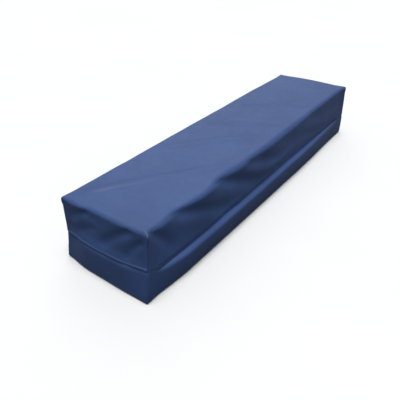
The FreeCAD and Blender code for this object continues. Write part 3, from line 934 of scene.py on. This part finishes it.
def surface_of(pieces):
    """A ray-casting tree for each piece's finished surface."""
    meshes = [piece.data for piece in pieces]
    return [BVHTree.FromPolygons([v.co for v in mesh.vertices], [tuple(p.vertices) for p in mesh.polygons])
            for mesh in meshes]


def on_surface(trees, start, direction):
    """The first place that a ray meets, and the outward normal there."""
    best = None
    for tree in trees:
        place, normal, _, distance = tree.ray_cast(start, direction)
        if place is not None and (best is None or distance < best[2]):
            best = (place, normal if normal.dot(direction) < 0 else -normal, distance)
    return best


STITCH_PITCH, STITCH_LENGTH, THREAD_RADIUS = 0.008, 0.0055, 0.00045
ABOVE_HEM = 0.010  # from the skirt's edge to its stitches
BESIDE_CORNER = 0.010  # from an upright corner to the nearest stitch, at least
BESIDE_ZIP = 0.003  # from the edges of the zip's opening to their stitches


def stitch_shape(sides=6, rings=5):
    """One stitch: a rounded bar that dips into the cloth at both ends."""
    places = []
    for i in range(rings):
        share = i / (rings - 1)
        x = (share - 0.5) * STITCH_LENGTH
        rise = THREAD_RADIUS * (0.9 * math.sin(math.pi * share) - 0.35)
        thick = THREAD_RADIUS * (0.55 + 0.45 * math.sin(math.pi * share))
        for k in range(sides):
            turn = 2 * math.pi * k / sides
            places.append((x, thick * math.cos(turn), rise + thick * math.sin(turn)))
    return np.array(places), grid_faces(rings, sides, closed=True)


def make_stitches(cad_name, runs, trees, material):
    """Stitches along each run, where its rays meet the cover. A run is its rays' starts and direction."""
    shape, shape_faces = stitch_shape()
    places, faces = [], []
    for starts, ray in runs:
        met = [on_surface(trees, start, ray) for start in starts]
        for i, hit in enumerate(met):
            if hit is None:
                continue
            ahead = met[i + 1] if i + 1 < len(met) else None
            behind = met[i - 1] if i else None
            one, two = (behind or hit)[0], (ahead or hit)[0]
            forward = (two - one).normalized()
            up = hit[1]
            side = up.cross(forward).normalized()
            up = forward.cross(side).normalized()
            turn = np.array([forward, side, up])
            faces.extend((shape_faces + len(places) * len(shape)).tolist())
            places.append(shape @ turn + np.array(hit[0]))
    add_piece(f"{cad_name}_thread", np.concatenate(places), faces, material, "thread", cad_name)


def stitch_places(length):
    """Evenly spaced places for stitches along a length, about its middle."""
    count = int(length / STITCH_PITCH)
    return (np.arange(count) - (count - 1) / 2) * STITCH_PITCH


def stitch_run(x, y, height, ray, out):
    """A run of stitches: its rays start this far out from the places given."""
    starts = np.column_stack([x, y, height]) - out * np.array(ray)
    return [Vector(start) for start in starts], Vector(ray)


def skirt_runs():
    """The skirt's stitches go parallel to its lower edge, at the front and the ends."""
    runs = []
    for half, fixed, ray in ((HALF_L, -HALF_W, (0, 1, 0)), (HALF_W, -HALF_L, (1, 0, 0)),
                             (HALF_W, HALF_L, (-1, 0, 0))):
        along = stitch_places(2 * (half - BESIDE_CORNER))
        across = np.full(len(along), fixed)
        x, y = (along, across) if ray[1] else (across, along)
        runs.append(stitch_run(x, y, skirt_edge(x, y) + ABOVE_HEM, ray, out=0.05))
    return runs


def zip_run(height):
    """The stitches beside the zip go along the rear at one height."""
    along = stitch_places(2 * PATCH_START)
    rear, level = np.full(len(along), HALF_W), np.full(len(along), height)
    return stitch_run(along, rear, level, (0, -1, 0), out=0.02)


def coil_mesh(low, high, upwards):
    """A wound coil: one bent loop of filament for each turn, its bend upwards or downwards."""
    wire, pitch, sides = 0.00045, 0.0022, 5
    depth = high.y - low.y - wire
    near, far = wire + 0.0001, high.z - low.z - wire
    route = [(0.0001, far), (depth * 0.55, far), (depth, far * 0.80), (depth, near + far * 0.15),
             (depth * 0.6, near), (0.0002, near)]
    loop = []
    for i, (rise, reach) in enumerate(route):
        ahead = route[min(i + 1, len(route) - 1)]
        behind = route[max(i - 1, 0)]
        direction = Vector((0.25 * pitch, ahead[0] - behind[0], ahead[1] - behind[1])).normalized()
        side = (Vector((1, 0, 0)) - direction * direction.x).normalized()
        other = direction.cross(side)
        centre = Vector((pitch * 0.5 * i / (len(route) - 1), rise, reach))
        for k in range(sides):
            turn = 2 * math.pi * k / sides
            loop.append(centre + (side * math.cos(turn) + other * math.sin(turn)) * wire)
    loop = np.array(loop)
    if not upwards:
        loop[:, 2] = (high.z - low.z) - loop[:, 2]
    count = int((high.x - low.x) / pitch)
    firsts = low.x + (np.arange(count) + 0.25) * pitch
    offsets = np.column_stack([firsts, np.full(count, low.y), np.full(count, low.z)])
    places = (loop[None] + offsets[:, None]).reshape(-1, 3)
    faces = grid_faces(len(route), sides, closed=True)
    if upwards:
        faces = faces[:, ::-1]
    every = (faces[None] + (np.arange(count) * len(loop))[:, None, None]).reshape(-1, 4)
    return places, every


def patch_mesh(low, high):
    """A small patch of cloth with soft edges, lying on the rear over the zip's end."""
    half = (high - low) / 2
    us, vs = (stations(h, first=0.0006, growth=1.3, widest=0.003) for h in (half.x, half.z))
    u, v = np.meshgrid(us, vs, indexing="ij")
    rim_u, rim_v = half.x - np.abs(u), half.z - np.abs(v)
    rim = np.minimum(rim_u, rim_v)
    thickness = 0.0009 * ease(rim, -0.0004, 0.0014)
    over_coils = 0.0006 * bell(v, 0, 0.006) * ease(rim_u, 0.0, 0.006)
    sewn = 0.0004 * bell(rim, 0.0035, 0.0008)
    y = low.y + 0.0004 + thickness + over_coils - sewn
    middle = (high + low) / 2
    return (np.stack([middle.x + u.ravel(), y.ravel(), middle.z + v.ravel()], 1),
            grid_faces(*u.shape)[:, ::-1])


def finish_cad(name, material):
    """Gives a CAD node that keeps its own shape its material."""
    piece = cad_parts[name]
    piece.data.materials.clear()
    piece.data.materials.append(material)


def make_zip(cloth):
    """The zip's materials, its wound coils and the patches over its ends."""
    tape = woven("zip_tape_weave", (0.012, 0.018, 0.045), 220.0)
    coil = coil_material("zip_coil_filament", (0.010, 0.014, 0.035))
    steel = metal("zip_die_cast", (0.55, 0.56, 0.58), 0.32)
    for name in ("zip_tape_upper", "zip_tape_lower"):
        finish_cad(name, tape)
    for name in ("zip_slider", "zip_pull_tab", "zip_top_stops", "zip_bottom_stop"):
        finish_cad(name, steel)
    for name, upwards in (("zip_coil_upper", True), ("zip_coil_lower", False)):
        add_piece(f"{name}_turns", *coil_mesh(*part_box(name), upwards), coil, "zip_coil", name)
    for name in ("zip_patch_near", "zip_patch_far"):
        add_piece(f"{name}_cloth", *patch_mesh(*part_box(name)), cloth, "cover_cloth", name)


# -------- stage

CAMERA_AZIMUTH, CAMERA_ELEVATION, CAMERA_ROLL = -52.93, 34.28, -0.67  # degrees
CAMERA_DISTANCE = 1.482
CAMERA_TARGET = Vector((-0.165, 0.0225, 0.0))
LENS, SENSOR = 39.8, 36.0  # millimetres


def make_camera():
    """The camera, placed as the photo's was."""
    azimuth, elevation = math.radians(CAMERA_AZIMUTH), math.radians(CAMERA_ELEVATION)
    back = Vector((math.sin(azimuth) * math.cos(elevation), -math.cos(azimuth) * math.cos(elevation),
                   math.sin(elevation)))
    turn = Matrix.Rotation(math.radians(CAMERA_ROLL), 3, back)
    right = turn @ Vector((0, 0, 1)).cross(back).normalized()
    up = back.cross(right)
    camera = add_object("camera", bpy.data.cameras.new("camera"))
    camera.data.lens, camera.data.sensor_width = LENS, SENSOR
    placed = Matrix((right, up, back)).transposed().to_4x4()
    placed.translation = CAMERA_TARGET + back * CAMERA_DISTANCE
    camera.matrix_world = placed
    bpy.context.scene.camera = camera


def make_light(name, place, spread, strength):
    """A soft lamp that lights the whole floor evenly, shining from place to the origin."""
    lamp = bpy.data.lights.new(name, "SUN")
    lamp.angle, lamp.energy = math.radians(spread), strength
    add_object(name, lamp).rotation_euler = (-Vector(place)).to_track_quat("-Z", "Y").to_euler()


def make_world(colour, strength):
    """Even light from all around."""
    world = bpy.data.worlds.new("studio")
    world.use_nodes = True
    light = world.node_tree.nodes["Background"].inputs
    light["Color"].default_value = (*colour, 1)
    light["Strength"].default_value = strength
    bpy.context.scene.world = world


def make_floor():
    """A large plain floor, clear of the block's base by a hair."""
    reach, gap = 14.0, 0.0005
    corners = [(-reach, -reach, 0), (reach, -reach, 0), (reach, reach, 0), (-reach, reach, 0)]
    floor = mesh_object("floor", corners, [(0, 1, 2, 3)])
    floor.data.materials.append(floor_material())
    floor.location.z = -gap


make_camera()
make_world((0.84, 0.93, 1.0), 0.335)
make_floor()
make_light("overhead", (-0.14, -0.15, 2.4), 34, 2.25)
make_light("behind", (1.3, 1.0, 1.4), 40, 0.25)
bpy.context.scene.view_settings.view_transform = "Standard"

NAVY = (0.045, 0.092, 0.254)
cover_cloth = vinyl("cover_vinyl", NAVY)
sewing = thread_material("sewing_thread", (0.030, 0.050, 0.140))
cover_pieces = make_cover(cover_cloth)
make_foam()
make_base(non_slip("base_non_slip", (0.016, 0.018, 0.026)))
cover_trees = surface_of(cover_pieces)
make_stitches("skirt_stitching", skirt_runs(), cover_trees, sewing)
make_stitches("zip_stitching_upper", [zip_run(ZIP_TOP + BESIDE_ZIP)], cover_trees, sewing)
make_stitches("zip_stitching_lower", [zip_run(BAND_TOP - BESIDE_ZIP)], cover_trees, sewing)
make_zip(cover_cloth)
